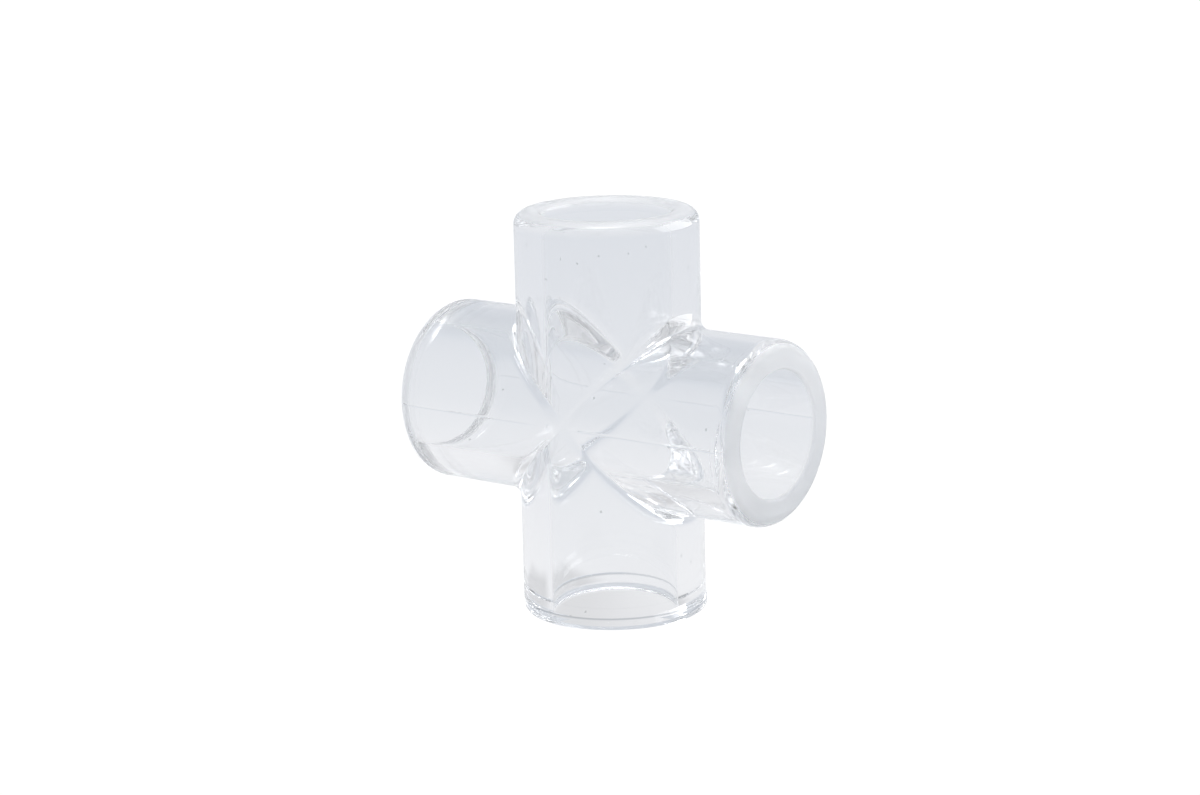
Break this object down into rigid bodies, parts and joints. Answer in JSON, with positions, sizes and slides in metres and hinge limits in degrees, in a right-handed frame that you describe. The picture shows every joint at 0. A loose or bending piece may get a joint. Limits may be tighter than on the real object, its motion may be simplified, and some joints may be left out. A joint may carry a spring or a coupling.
{
  "type": "cross pipe fitting",
  "caption": "Clear plastic cross fitting: plain slip sockets at right angles in one plane, joined by an open crossing bore, for solvent-welded rigid pipe.",
  "frame": {"origin": "the point where the two pipe runs cross, which is also the centre of the part", "axes": "+Z along the upright run towards socket_top, +X along the level run towards socket_right, Y square to the plane of the cross"},
  "size_m": [0.0684, 0.031, 0.0684],
  "materials": {
    "clear_plastic": "transparent, polished, water-clear with a faint cool tint"
  },
  "bodies": {
    "root": {"hub": "clear_plastic", "socket_top": "clear_plastic", "socket_bottom": "clear_plastic", "socket_right": "clear_plastic", "socket_left": "clear_plastic"}
  },
  "joints": []
}
